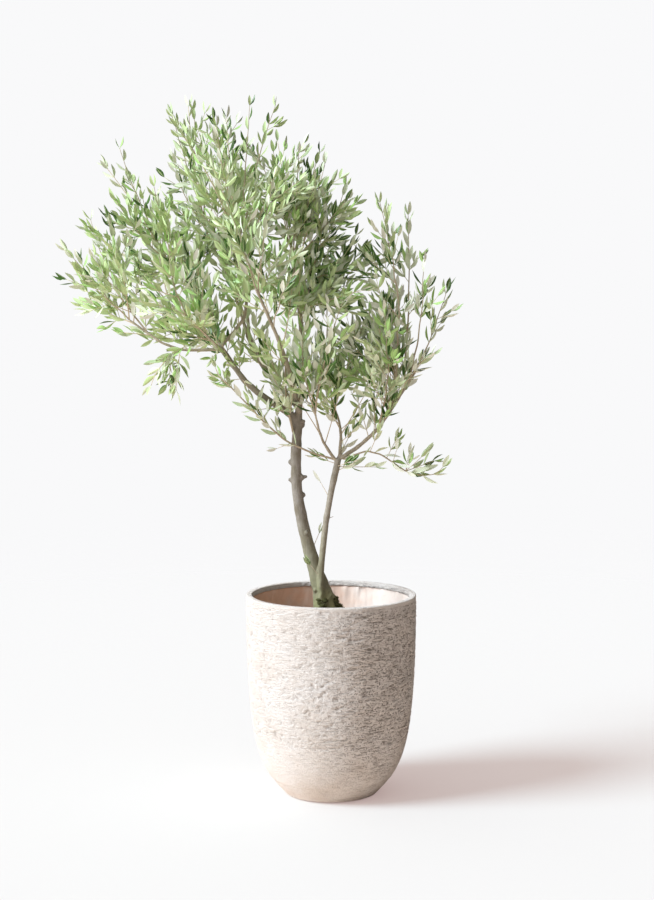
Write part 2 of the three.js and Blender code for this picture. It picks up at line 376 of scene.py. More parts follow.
skin_line = smooth_line(skin[:-1], ROUGHCAST_STEP).tolist()
skin_line = [p for p in skin_line if FOOT_GAP < p[1] < rim_height - RIM_ROUNDING - 0.001]
outline = [[0, 0], [0.5 * foot_radius, 0], [foot_radius - 0.009, 0], [foot_radius - 0.007, FOOT_GAP]]
outline += skin_line
outline += arc((rim_radius - RIM_ROUNDING, rim_height - RIM_ROUNDING), RIM_ROUNDING, 0, 90)
outline += [[rim_radius - 0.006, rim_height], [rim_inside + 0.004, rim_height]]
outline += arc((rim_inside + 0.0015, rim_height - 0.0015), 0.0015, 90, 180, 2)
outline += smooth_line([[rim_inside, rim_height - 0.003], [rim_inside, band_foot]], 0.003).tolist()
outline += [[0.5 * (rim_inside + clay_corner[0]), band_foot], [clay_corner[0], band_foot - 0.0008]]
outline += smooth_line([[clay_corner[0], band_foot - 0.004]] + lining[3:], 0.012).tolist()
outline += [[0, lining[-1][1]]]

shape = spun(outline, POT_SIDES)
relief = []
for vert in shape.verts:
    place = vert.co.copy()
    radius = hypot(place.x, place.y)
    depth = 0.0
    if 0.002 < place.z < rim_height - 0.001 and radius > foot_radius - 0.001 + 0.9 * min(
            place.z, rim_inside + 0.0045 - foot_radius + 0.001):
        sway = noise.noise_vector(place * 60)
        pressed = place * Vector(PRESSED) + sway * 1.3
        pulled = place * Vector(PULLED) + sway * 0.8
        dragged = min(max((place.x - DRAG_STARTS) / DRAG_WIDTH, 0), 1)
        wrinkle = (1 - dragged) * noise.noise(pressed) + dragged * noise.noise(pulled)
        finer = noise.noise(pressed * 2.0 + Vector((7, 3, 1)))
        patch = 0.5 + 0.5 * noise.noise(place * 11 + Vector((1, 5, 2)))
        calm = min(max((place.z - 0.02) / 0.1, 0.3), 1)
        ridge = 1 - abs(wrinkle) * 2.4
        height = (0.35 * wrinkle + 0.65 * ridge + 0.45 * finer) * (0.55 + 0.65 * patch)
        height *= calm * (0.8 + 0.2 * dragged)
        edge = min((rim_height - place.z) / 0.008, 1) * min(place.z / 0.01, 1)
        depth = (height - 0.45) * RELIEF * edge
        vert.co += Vector((place.x, place.y, 0)).normalized() * depth
    relief.append(depth / RELIEF)

material_coat, tree = new_material("cream rough-cast slip")
place = add_node(tree, "ShaderNodeTexCoord").outputs["Object"]
low = add_node(tree, "ShaderNodeAttribute", {"attribute_name": "relief"}).outputs["Fac"]
drift = cloudy(tree, place, 14.0, 4.0, 0.6).outputs["Fac"]
tint = ramped(tree, drift, 0.35, "EEE5DD", 0.65, "F6F0EB")
flat = add_node(tree, "ShaderNodeMapping", Vector=place, Scale=(52.0, 52.0, 400.0))
bend = cloudy(tree, place, 80.0, 2.0)
warped = add_node(tree, "ShaderNodeVectorMath", {"operation": "MULTIPLY_ADD"},
                  i0=bend.outputs["Color"], i1=(2.4, 2.4, 2.4), i2=flat.outputs[0])
drag = cloudy(tree, warped.outputs[0], 1.0, 3.0, 0.55).outputs["Fac"]
crack = remapped(tree, drag, 0.34, 0.44, 0.0, 1.0)
pits = add_node(tree, "ShaderNodeTexVoronoi", Vector=place, Scale=170.0, Randomness=1.0)
pit = remapped(tree, pits.outputs["Distance"], 0.08, 0.36, 0.0, 1.0)
spot = add_node(tree, "ShaderNodeSeparateXYZ", Vector=place)
calmed = remapped(tree, spot.outputs["Z"], 0.02, 0.16, 0.2, 1.0)
below_rim = remapped(tree, spot.outputs["Z"], band_foot - 0.002, band_foot + 0.006, 1.0, 0.05)
settled = times(tree, calmed, below_rim)
open_cracks = times(tree, crack, pit)
filled = add_node(tree, "ShaderNodeMath", {"operation": "SUBTRACT"}, i0=1.0, i1=open_cracks)
# painted shade in the cracks: weak on the sunlit left, full on the shaded right, where the wrinkles also
# run sideways
dragged = remapped(tree, spot.outputs["X"], -0.05, 0.11, 0.12, 1.0)
hollow = times(tree, times(tree, filled.outputs[0], dragged), settled)
# low hollows in the relief get painted shade as well
sunk = remapped(tree, low, -0.9, -0.35, 0.32, 0.0)
crevice_shade = times(tree, hollow, 0.7, sunk)
grain = cloudy(tree, place, 520.0, 3.0, 0.65).outputs["Fac"]
level = times(tree, grain, 0.9, drag)
rough = times(tree, hollow, -1.1, level)
# the coat's tint with its painted shade laid over it
coat_with_painted_shade = blended(tree, crevice_shade, tint, linear(COAT_CREVICE_SHADE))
surfaced(tree, coat_with_painted_shade, 0.93, (rough, 1.0, GRAIN_DEPTH), 0.25)

material_clay, tree = new_material("bare terracotta, brushed")
place = add_node(tree, "ShaderNodeTexCoord").outputs["Object"]
cloud = cloudy(tree, place, 22.0, 5.0, 0.6)
across = add_node(tree, "ShaderNodeSeparateXYZ", Vector=place)
# painted light: the inside wall turns pale towards +X, where the sun falls on it over the left rim, and
# stays deeper terracotta on the shaded left
side = times(tree, across.outputs["X"], 3.0, cloud.outputs["Fac"])
tint = ramped(tree, side, 0.15, "F8CBAF", 0.85, "F7EAE1")
tilted = add_node(tree, "ShaderNodeMapping", Vector=place, Rotation=(0.0, 0.7, 0.0),
                  Scale=(60.0, 60.0, 420.0))
strokes = cloudy(tree, tilted.outputs[0], 1.0, 3.0)
surfaced(tree, tint, 0.9, (strokes.outputs["Fac"], 0.5, 0.0008))

for face in shape.faces:
    middle = face.calc_center_median()
    r = hypot(middle.x, middle.y)
    skin_radius = np.interp(middle.z, [p[1] for p in skin], [p[0] for p in skin])
    is_clay = 0.01 < middle.z < band_foot and r < skin_radius - 0.006
    face.material_index = 1 if is_clay else 0
pot = piece_from(shape, "planter", [material_coat, material_clay])
attribute = pot.data.attributes.new("relief", "FLOAT", "POINT")
attribute.data.foreach_set("value", relief)
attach(pot, "root")
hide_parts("pot")


# ---- Potting mix ----
# Dark crumbly potting mix that fills the planter to a hand's width below the rim, a
# little higher round the stems, with loose crumbs of bark and pumice on top.
MIX_CRUMBS = 900
rng = default_rng(41)

sides = profile("soil")
soil_top = sides[-1][1]
edge_ring = sides[-2]
outline = [[0, sides[0][1]]] + sides[:-1]
outline += smooth_line([edge_ring, sides[-1], [0.004, soil_top]], 0.0035).tolist()[1:]
outline += [[0, soil_top]]
shape = spun(outline, 150)
for vert in shape.verts:
    r = hypot(vert.co.x, vert.co.y)
    if vert.co.z > edge_ring[1] - 0.0005 and r < edge_ring[0] - 0.003:
        vert.co.z += 0.0035 * noise.noise(vert.co * 90) + 0.003 * noise.noise(vert.co * 28) - 0.001
crumb_points, crumb_faces = ball(1)
for _ in range(MIX_CRUMBS):
    r = (edge_ring[0] - 0.008) * sqrt(rng.random())
    bearing = rng.random() * 2 * pi
    turn = rng.random() * pi
    size = (0.0012 + 0.0028 * rng.random() ** 2) * (0.7 + np.array([0.9, 0.5, 0.2]) * rng.random(3))
    z = float(np.interp(r, [sides[-1][0], edge_ring[0]], [soil_top, edge_ring[1]]))
    x, y, up = (crumb_points * size).T
    spots = np.stack([x * cos(turn) - y * sin(turn) + r * cos(bearing),
                      x * sin(turn) + y * cos(turn) + r * sin(bearing), up + z], axis=1)
    made = [shape.verts.new(spot) for spot in spots]
    kind = 1 if rng.random() < 0.25 else 0
    for corner in crumb_faces:
        shape.faces.new([made[k] for k in corner]).material_index = kind


def earthy(name, dark, light, scale):
    """A matt crumbly material between two colours."""
    material, tree = new_material(name)
    place = add_node(tree, "ShaderNodeTexCoord").outputs["Object"]
    cloud = cloudy(tree, place, scale, 5.0, 0.7).outputs["Fac"]
    tint = ramped(tree, cloud, 0.35, dark, 0.7, light)
    surfaced(tree, tint, 0.96, (cloud, 0.7, 0.002))
    return material


soil = piece_from(shape, "potting_mix", [earthy("damp potting mix", "2A1D14", "5A4432", 160.0),
                                         earthy("pumice and bark crumbs", "6E5A47", "B8A58F", 240.0)])
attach(soil, "root")
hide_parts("soil")


# ---- Stems and boughs ----
# One continuous skin of thin matt bark over the trunk, the second stem and the boughs,
# with old pruning knots, the sawn stub where the leader was cut out, and fine upright
# fissures. Each limb's line and girth are read off its CAD solid, slice by slice.
VOXEL = 0.0016
THIN = 0.0027  # limbs thinner than this are left to the twigs
KNOTS = [  # height up the trunk, bearing in degrees, size in metres
    (0.715, 176, 0.0065), (0.63, 184, 0.006), (0.645, -12, 0.0075), (0.565, 8, 0.006),
    (0.407, -75, 0.0055), (0.885, 165, 0.01), (0.875, 20, 0.0085), (0.48, 95, 0.006),
    (0.3, 140, 0.006), (0.77, 60, 0.0065), (0.04, -60, 0.01), (0.09, -112, 0.0075),
    (0.02, -15, 0.011), (0.12, -40, 0.0065), (0.15, -140, 0.006), (0.07, 80, 0.009),
]
STUBS = [  # height up the trunk, bearing in degrees, length in metres
    (0.715, 178, 0.006), (0.63, 184, 0.007), (0.648, -6, 0.013), (0.565, 4, 0.005), (0.885, -25, 0.008),
]
rng = default_rng(5)


def slices(name, start):
    """Points and radii along a CAD limb from the end nearest start, by cutting it across."""
    points = node_points(name)
    a, b = [points[ends] for ends in edge_ends(frame["nodes"][name].data)]
    far = points[np.argmax(norm(points - start, axis=1))]
    way = (far - start) / norm(far - start)
    along = (points - start) @ way
    from_a, from_b = (a - start) @ way, (b - start) @ way
    centres = []
    rims = []
    for mark in np.linspace(max(along.min(), 0) + 0.006, along.max() - 0.0015, 16):
        cut = (from_a - mark) * (from_b - mark) < 0
        share = ((mark - from_a[cut]) / (from_b[cut] - from_a[cut]))[:, None]
        rim = a[cut] + share * (b[cut] - a[cut])
        centres.append((rim.max(axis=0) + rim.min(axis=0)) / 2)
        rims.append(rim)
    centres = np.array(centres)
    tangents = directions(centres)
    radii = []
    for centre, tangent, rim in zip(centres, tangents, rims):
        off = rim - centre
        radii.append(norm(off - np.outer(off @ tangent, tangent), axis=1).max())
    return centres, np.array(radii)


def tube(points, radii, sides):
    """Vertices and faces of a closed round limb."""
    points = np.asarray(points, float)
    tangents = directions(points)
    side = np.cross(tangents[0], [0.3, 0.9, 0.1])
    verts = []
    turn = np.linspace(0, 2 * pi, sides, endpoint=False)
    for point, tangent, radius in zip(points, tangents, radii):
        side = side - tangent * (side @ tangent)
        side = side / norm(side)
        other = np.cross(tangent, side)
        verts.append(point + radius * (np.outer(np.cos(turn), side) + np.outer(np.sin(turn), other)))
    verts = np.vstack(verts)
    faces = []
    for ring in range(len(points) - 1):
        low = ring * sides
        for k in range(sides):
            n = (k + 1) % sides
            faces.append((low + k, low + n, low + sides + n, low + sides + k))
    last = (len(points) - 1) * sides
    faces.append(tuple(range(sides))[::-1])
    faces.append(tuple(last + k for k in range(sides)))
    return verts, faces


def joined(name, parts, materials):
    """One object from many (vertices, faces, material numbers) parts."""
    verts = []
    faces = []
    kinds = []
    count = 0
    for part_verts, part_faces, kind in parts:
        verts.append(part_verts)
        faces += [tuple(k + count for k in face) for face in part_faces]
        kinds += kind if isinstance(kind, list) else [kind] * len(part_faces)
        count += len(part_verts)
    mesh = bpy.data.meshes.new(name)
    mesh.from_pydata(np.vstack(verts).tolist(), [], faces)
    for item in materials:
        mesh.materials.append(item)
    mesh.polygons.foreach_set("material_index", kinds)
    mesh.shade_smooth()
    return placed(name, mesh)


wood_names = [row["node"] for row in frame["record"]["subparts"] if row["material_slot"] == "bark"]
lines = {}
for name in wood_names:
    points = node_points(name)
    if not lines:
        start = points[points[:, 2] < points[:, 2].min() + 1e-4].mean(axis=0)
    else:
        known = np.vstack([line[0] for line in lines.values()])
        gaps = [norm(known - end, axis=1) for end in far_ends(points)]
        root = gaps[0] if gaps[0].min() < gaps[1].min() else gaps[1]
        start = known[np.argmin(root)]
    centres, radii = slices(name, start)
    line = np.vstack([start, centres])
    girth = np.concatenate([[radii[0]], radii])
    fine = smooth_line(np.column_stack([line, girth]), 0.006)
    lines[name] = (fine[:, :3], fine[:, 3])

thick = [name for name in wood_names if lines[name][1].mean() > THIN]
parts = []
for name in thick:
    points, radii = lines[name]
    sides = 20 if name == "trunk" else 12
    uneven = [1 + 0.07 * noise.noise(Vector(point) * 34) for point in points]
    verts, faces = tube(points, radii * uneven, sides)
    parts.append((verts, faces, 0))
trunk_points, trunk_radii = lines["trunk"]
trunk_rise = trunk_points[-1][2] - trunk_points[0][2]
knot_points, knot_faces = ball(2)


def on_trunk(height, bearing, lift):
    """The step of the trunk's line at a share of its height, and a way out of it."""
    k = int(np.argmin(abs(trunk_points[:, 2] - trunk_points[0][2] - height * trunk_rise)))
    return k, np.array([cos(radians(bearing)), sin(radians(bearing)), lift])


for height, bearing, size in KNOTS:
    k, out = on_trunk(height, bearing, 0.25)
    spot = trunk_points[k] + out * (trunk_radii[k] * 0.9)
    parts.append((knot_points * size * [1, 1, 1.25] + spot, knot_faces, 0))
for height, bearing, reach in STUBS:
    k, out = on_trunk(height, bearing, 0.22)
    spot = trunk_points[k] + out * trunk_radii[k] * 0.6
    verts, faces = tube([spot, spot + out * (trunk_radii[k] * 0.4 + reach * 0.5),
                         spot + out * (trunk_radii[k] * 0.4 + reach)], [0.0062, 0.0045, 0.0035], 10)
    parts.append((verts, faces, 0))
rough_wood = joined("rough_wood", parts, [])
remesh = rough_wood.modifiers.new("skin", "REMESH")
remesh.mode = "VOXEL"
remesh.voxel_size = VOXEL
remesh.adaptivity = 0.0
shown = rough_wood.evaluated_get(bpy.context.evaluated_depsgraph_get())
shape = bmesh.new()
shape.from_mesh(bpy.data.meshes.new_from_object(shown))
bpy.data.objects.remove(rough_wood)
for _ in range(3):
    bmesh.ops.smooth_vert(shape, verts=shape.verts, factor=0.5,
                          use_axis_x=True, use_axis_y=True, use_axis_z=True)
shape.normal_update()
ground_z = trunk_points[0][2]
for vert in shape.verts:
    place = vert.co
    upright = Vector((place.x * 260, place.y * 260, place.z * 46))
    fissure = noise.noise(upright) + 0.5 * noise.noise(upright * 2.3)
    lump = noise.noise(place * 60)
    flare = max(0.0, 1 - (place.z - ground_z) / 0.13)
    fold = noise.noise(Vector((place.x * 75, place.y * 75, place.z * 16)))
    vert.co += vert.normal * (0.0003 * fissure + 0.00075 * lump + 0.005 * flare * fold
                             + 0.0032 * flare * noise.noise(place * 120))

known = np.vstack([lines[name][0] for name in thick])
girths = np.concatenate([lines[name][1] for name in thick])
spots = np.array([vert.co[:] for vert in shape.verts])
young = np.empty(len(spots))
for low in range(0, len(spots), 4000):
    chunk = spots[low:low + 4000]
    gaps = norm(chunk[:, None, :] - known[None, :, :], axis=2) - girths[None, :]
    young[low:low + 4000] = np.clip((0.0095 - girths[np.argmin(gaps, axis=1)]) / 0.006, 0, 1)

material_bark, tree = new_material("olive bark")
place = add_node(tree, "ShaderNodeTexCoord").outputs["Object"]
youth = add_node(tree, "ShaderNodeAttribute", {"attribute_name": "young"}).outputs["Fac"]
upright = add_node(tree, "ShaderNodeMapping", Vector=place, Scale=(1.0, 1.0, 0.16))
streak = cloudy(tree, upright.outputs[0], 330.0, 6.0, 0.7).outputs["Fac"]
cloud = cloudy(tree, place, 34.0, 4.0, 0.6).outputs["Fac"]
both = times(tree, streak, 0.6, cloud)
tint = ramped(tree, both, 0.62, "797263", 0.98, "97918A")
fresh = ramped(tree, both, 0.60, "9A8F7C", 1.0, "C4BAA6")
aged = blended(tree, youth, tint, fresh)
height = add_node(tree, "ShaderNodeSeparateXYZ", Vector=place)
damp = remapped(tree, height.outputs["Z"], ground_z + 0.03, ground_z + 0.26, 1.0, 0.0)
patchy = remapped(tree, cloud, 0.3, 0.62, 0.35, 1.0)
algae = times(tree, damp, patchy)
algae_tint = blended(tree, streak, linear("5E6438"), linear("A3A276"))
coloured = blended(tree, algae, aged, algae_tint)
surfaced(tree, coloured, 0.88, (streak, 0.6, 0.0007), 0.3)

wood = piece_from(shape, "stems_and_boughs", [material_bark])
attribute = wood.data.attributes.new("young", "FLOAT", "POINT")
attribute.data.foreach_set("value", young)
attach(wood, "root")
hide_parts(*thick)


# ---- Moss ----
# A cushion of dark moss at the foot of the stems, on the front and right: low lumps set
# with short green and brown tufts, lying on the flare of the trunk and the potting mix.
MOSS_TUFTS = 2200
rng = default_rng(12)
parts = []
lumps = []
for _ in range(40):
    bearing = radians(rng.uniform(-125, 12))
    rise = rng.uniform(0.0, 1.0)
    k = int(np.argmin(abs(trunk_points[:, 2] - (ground_z + 0.002 + 0.062 * rise))))
    out = np.array([cos(bearing), sin(bearing), 0.0])
    spot = trunk_points[k] + out * (trunk_radii[k] * (1.02 + 0.35 * (1 - rise)))
    size = rng.uniform(0.005, 0.01) * (1.2 - 0.5 * rise)
    lumps.append((spot, size))
    rough = np.array([1 + 0.28 * noise.noise(Vector(p * 2.1 + spot * 90)) for p in knot_points])[:, None]
    parts.append((knot_points * size * rough * [1, 1, 0.8] + spot, knot_faces, 0))
for _ in range(MOSS_TUFTS):
    spot, size = lumps[rng.integers(0, len(lumps))]
    out = rng.normal(0, 1, 3)
    out[2] = abs(out[2])
    out /= norm(out)
    root = spot + out * size * [0.95, 0.95, 0.75]
    tip = root + out * rng.uniform(0.0015, 0.004) + rng.normal(0, 0.0006, 3)
    side = np.cross(out, rng.normal(0, 1, 3))
    side *= 0.00055 / max(norm(side), 1e-6)
    other = np.cross(out, side)
    verts = np.array([root + side, root - 0.5 * side + 0.87 * other, root - 0.5 * side - 0.87 * other, tip])
    parts.append((verts, [(0, 1, 3), (1, 2, 3), (2, 0, 3), (0, 2, 1)], int(rng.integers(0, 3))))
moss = joined("moss", parts, [earthy("moss cushion", "2E2B17", "5D6030", 420.0),
                              earthy("moss tufts", "4F5A28", "8A9450", 600.0),
                              earthy("dead moss tips", "5E4A2E", "94805A", 600.0)])
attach(moss, "root")
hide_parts("trunk")


# ---- Twigs ----
# The twigs grow on from the boughs by one rule. Each foliage mass gets a leading shoot from
# its foot on the limb to its tip. Side shoots leave it in opposite pairs, each pair turned
# a quarter round from the last, curve upwards and stop near the mass's outside. They're
# round and wiry, grey-brown where old and pale yellow-green where this year's.
INTERNODE = 0.028  # metres between pairs of side shoots or leaves
LEAF = 0.044  # length of a full-grown leaf
STEP = 0.011  # metres between the points of a shoot
SIDE_STEP = (0.038, 0.036)  # metres between pairs of side shoots, first and second order
SIDE_LEAN = (34, 52)  # degrees that they lean out
SIDE_CHANCE = (0.8, 0.6)
FORK_REACH = 0.075  # a longer side shoot branches again
FILL_STEP, FILL_LEAN = 0.032, (34, 58)
SPROUTS = [  # limb, share of its length, bearing, rise, length, pairs
    ("second_stem", 0.22, 200, 50, 0.04, 1), ("second_stem", 0.6, 10, 20, 0.018, 0),
    ("second_stem", 0.74, 150, 60, 0.045, 1), ("trunk", 0.33, 20, 62, 0.05, 1),
    ("second_stem", 0.93, -20, 25, 0.075, 3), ("second_stem", 0.97, 190, 20, 0.05, 2),
    ("second_stem", 0.95, -60, 15, 0.06, 2), ("trunk", 0.93, -60, 75, 0.105, 4),
    ("trunk", 0.89, 150, 50, 0.08, 4), ("trunk", 0.94, 90, 55, 0.085, 4),
    ("bough_left", 0.7, 100, 60, 0.09, 4),
    ("second_stem", 0.99, 60, 50, 0.09, 4), ("bough_middle", 0.5, -90, 60, 0.08, 4),
    ("bough_right", 0.48, -80, 70, 0.08, 4), ("bough_right", 0.42, 100, 60, 0.1, 4),
    ("shoot_middle", 0.3, -40, 35, 0.07, 4), ("bough_right", 0.52, -60, 40, 0.08, 4),
    ("bough_left", 0.22, 215, -5, 0.08, 3), ("bough_left", 0.16, -100, 5, 0.07, 3),
    ("sprig_right", 0.7, 30, 60, 0.05, 2), ("sprig_right", 0.45, -60, 50, 0.06, 2),
    ("shoot_inner", 0.5, 195, 60, 0.13, 2), ("shoot_inner", 0.35, 20, 70, 0.12, 2),
    ("shoot_middle", 0.4, -20, 55, 0.14, 3), ("shoot_middle", 0.5, 170, 62, 0.13, 2),
    ("second_stem", 0.96, -12, 0, 0.09, 3), ("twig_left", 0.38, 200, -20, 0.035, 1),
    ("twig_left", 0.62, 20, 60, 0.05, 2), ("twig_left", 0.45, 140, 70, 0.05, 2),
    ("sprig_right", 0.8, 0, 75, 0.03, 1), ("sprig_right", 1.00, 60, 60, 0.04, 2),
    ("shoot_middle", 0.5, 0, 40, 0.065, 4), ("bough_left", 0.66, 190, -8, 0.055, 3),
    ("twig_left", 0.55, 230, 40, 0.06, 2), ("twig_left", 0.7, 80, 45, 0.06, 2),
    ("bough_left", 0.68, -60, -42, 0.045, 2), ("sprig_right", 1.00, 0, 40, 0.06, 3),
    ("sprig_right", 1.00, 20, 15, 0.075, 3), ("sprig_right", 1.00, -40, 60, 0.03, 2),
    ("limb_left_low", 0.05, 250, -30, 0.05, 3), ("bough_left", 0.92, -80, -40, 0.05, 3),
    ("bough_right", 0.33, 170, 75, 0.085, 5), ("bough_right", 0.38, -100, 80, 0.075, 4),
]
# the second stem's sprays on the right get deeper, greyer greens: partly their own tone, partly painted
# shade of the right side, away from the sun
SECOND_STEM = ("second_stem", "bough_right", "shoot_inner", "shoot_middle", "sprig_right", "twig_left")
GREENS = {  # shares of the five upper and three lower leaf greens
    True: ([0.1, 0.21, 0.36, 0.23, 0.1], [0.55, 0.3, 0.15]),  # deep and grey, partly painted shade of the crown's shaded right side
    False: ([0.29, 0.25, 0.21, 0.09, 0.16], [0.3, 0.3, 0.4]),  # fresh
}
LONG_SHOOTS = [  # limb, share of its length, bearing, rise, length, fullness
    ("bough_leader", 0.96, -8, 56, 0.195, 0.7), ("bough_leader", 0.8, 14, 24, 0.2, 1),
    ("bough_leader", 0.62, -25, 20, 0.18, 0.9), ("bough_leader", 0.97, 170, 87, 0.27, 0.6),
    ("bough_leader", 0.97, 150, 84, 0.29, 1.2), ("bough_leader", 0.9, -20, 72, 0.26, 0.9),
    ("bough_leader", 0.5, -95, 55, 0.17, 0.5), ("bough_front", 0.55, 60, 62, 0.2, 0.5),
    ("bough_front", 0.75, 110, 55, 0.18, 0.8), ("bough_back", 0.6, -80, 66, 0.2, 0.5),
    ("bough_back", 0.8, -100, 50, 0.16, 0.7), ("limb_top", 0.95, -10, 68, 0.25, 0.6),
    ("limb_top", 1.00, 180, 82, 0.33, 0.5), ("limb_top", 1.00, 180, 80, 0.345, 0.6),
    ("limb_middle_up", 1.00, 180, 78, 0.3, 0.1), ("limb_middle_up", 1.00, 20, 78, 0.27, 0.7),
    ("limb_middle_up", 0.55, 215, 70, 0.15, 1), ("limb_left_high", 0.55, 150, 74, 0.13, 1),
    ("limb_left_high", 0.98, 186, 62, 0.27, 0.45), ("limb_left_high", 0.25, -120, 50, 0.11, 1),
    ("bough_left", 0.95, 170, 60, 0.12, 1), ("limb_left_front", 0.3, 120, 60, 0.11, 1),
    ("limb_left_low", 0.95, 60, 80, 0.14, 1), ("limb_left_low", 1.00, 160, 85, 0.24, 0.8),
    ("limb_left_low", 0.75, 185, 2, 0.06, 1), ("limb_left_front", 0.5, 190, 5, 0.07, 1),
    ("limb_left_low", 0.35, 150, 40, 0.12, 1), ("limb_left_low", 0.45, 180, -60, 0.06, 1),
    ("shoot_middle", 0.9, -15, 74, 0.2, 1), ("shoot_middle", 0.95, 60, 70, 0.2, 0.7),
    ("shoot_inner", 0.9, -60, 76, 0.18, 1), ("bough_right", 0.75, 150, 78, 0.24, 0.6),
    ("bough_right", 0.6, 140, 80, 0.25, 0.7), ("bough_right", 0.8, 120, 86, 0.11, 0.6),
    ("limb_left_low", 0.42, 215, -75, 0.095, 1), ("limb_left_low", 0.5, 215, -80, 0.06, 1),
    ("bough_leader", 0.62, 15, 35, 0.19, 1), ("bough_front", 0.95, 30, 60, 0.13, 1),
]
FULLNESS = {  # masses with fewer or more side shoots than the rest
    "limb_left_low_3": 0.4, "limb_left_low_4": 1.25, "limb_left_high_3": 0.5,
    "limb_middle_up_1": 0.3, "limb_middle_up_2": 0.5, "limb_middle_back_1": 0.5,
    "limb_top_1": 0.3, "bough_leader_1": 0.5, "bough_leader_2": 0.5,
    "bough_leader_3": 0.6, "bough_front_3": 0.25, "bough_back_1": 0.45,
    "bough_back_2": 0.25, "shoot_inner_2": 0.6, "shoot_middle_1": 0.6,
    "bough_right_3": 0.9, "bough_right_4": 0.4, "bough_right_5": 0.3,
    "bough_right_6": 0.45, "bough_right_7": 0.2, "sprig_right_1": 1.3,
}
BARE = ("trunk", "second_stem", "sprig_right", "twig_left")  # limbs without fill shoots
FILL = {  # limb: share where side shoots start, chance, longest
    "bough_left": (0.75, 0.5, 0.1),
    "bough_middle": (0.3, 0.5, 0.12), "bough_leader": (0.5, 0.3, 0.12), "bough_right": (0.55, 0.4, 0.13),
    "shoot_middle": (0.55, 0.6, 0.12), "shoot_inner": (0.6, 0.5, 0.11), "limb_left_low": (0.5, 0.4, 0.11),
    "bough_front": (0.3, 0.1, 0.12), "bough_back": (0.4, 0.25, 0.12),
}
crown_low, crown_high = np.array(cad_bounds[0]), np.array(cad_bounds[1])
slack = (crown_high - crown_low) * 0.03 + 0.006
reach_low, reach_high = crown_low - slack, crown_high + slack
twigs = []  # (points, radii, age 0-2)
leaf_rows = []  # (limb, base, way, face, length, width, shape, top, under)


def unit(v):
    return v / max(norm(v), 1e-9)


def frame_round(way, roll):
    """Two directions square to a shoot, the first at the given roll."""
    side = unit(np.cross(way, [0.31, 0.2, 0.93] if abs(way[2]) < 0.9 else [1.0, 0.1, 0.0]))
    other = np.cross(way, side)
    return (cos(roll) * side + sin(roll) * other,
            -sin(roll) * side + cos(roll) * other)


def put_leaf(limb, spot, way, across, lean, size, tints):
    """One leaf leaning out from a shoot, its upper face towards the shoot's tip."""
    out = unit(cos(lean) * way + sin(lean) * across + rng.normal(0, 0.17, 3) + [0, 0, 0.18])
    face = way - out * (way @ out) + np.array([0, 0, 0.25])
    face = unit(face - out * (face @ out))
    spin = rng.normal(0, 0.42)
    face = unit(cos(spin) * face + sin(spin) * np.cross(out, face))
    top = tints[0] if rng.random() < 0.75 else int(rng.integers(0, 5))
    size *= rng.uniform(0.86, 1.12) * float(np.interp(spot[2], [1.2, 1.55], [1.0, 0.82]))
    if np.all(spot + out * size > reach_low) and np.all(spot + out * size < reach_high):
        leaf_rows.append((limb, spot, out, face, size, rng.uniform(0.235, 0.3),
                          int(rng.integers(0, 4)), top, tints[1]))


def leafy(limb, points, ways, start, bare, tints, size=LEAF, keep=0.94):
    """Pairs of leaves along a shoot from start metres on, and a tuft at its tip."""
    run = run_along(points)
    roll = rng.uniform(0, pi)
    mark = start
    while mark < run[-1] - 0.006:
        spot = at_mark(mark, run, points)
        way = unit(at_mark(mark, run, ways))
        left = run[-1] - mark
        lean = radians(rng.uniform(24, 42) * (0.65 + 0.35 * min(left / 0.06, 1)))
        across, _ = frame_round(way, roll)
        for sense in (1, -1):
            if rng.random() < keep * float(np.interp(spot[2], [1.2, 1.5], [1, 0.88])) and mark > bare:
                full = 0.8 + 0.2 * min(left / 0.05, 1)
                put_leaf(limb, spot, way, sense * across, lean, size * full, tints)
        roll += pi / 2 + rng.normal(0, 0.25)
        mark += INTERNODE * rng.uniform(0.72, 1.12)
    across, _ = frame_round(ways[-1], roll)
    for sense in (1, -1):
        lean = radians(rng.uniform(9, 20))
        put_leaf(limb, points[-1], ways[-1], sense * across, lean, size * 0.8, tints)


def add_twig(points, tip, taper, reach, age):
    """A twig as thick as tip at its end, and thicker by taper for each metre back from it."""
    twigs.append((points, tip + taper * np.linspace(reach, 0, len(points)), age))


def outside(tip, low_gap, high_gap):
    """Whether a tip is nearer the sides of the crown's box than the gaps, or past them."""
    return np.any(tip < crown_low + low_gap) or np.any(tip > crown_high - high_gap)


def shoot_line(start, way, length, lift):
    """A shoot that curves gently upwards, in steps of about a centimetre."""
    steps = max(int(round(length / STEP)), 2)
    points = [start]
    ways = [way]
    drift = rng.normal(0, 0.03, 3)
    for _ in range(steps):
        way = unit(way + (np.array([0, 0, lift]) + drift + rng.normal(0, 0.03, 3)) * STEP / 0.03)
        points.append(points[-1] + way * length / steps)
        ways.append(way)
    return np.array(points), np.array(ways)


def room(tree, spot, way, most):
    """How far a shoot may run before it leaves its mass."""
    hit = tree.ray_cast(Vector(spot + way * 0.004), Vector(way), most)
    return most if hit[0] is None else hit[3] + 0.004


def spray_tints(limb):
    """The upper and lower green of one spray, from the shares of its stem."""
    tops, unders = GREENS[limb in SECOND_STEM]
    return int(rng.choice(5, p=tops)), int(rng.choice(3, p=unders))


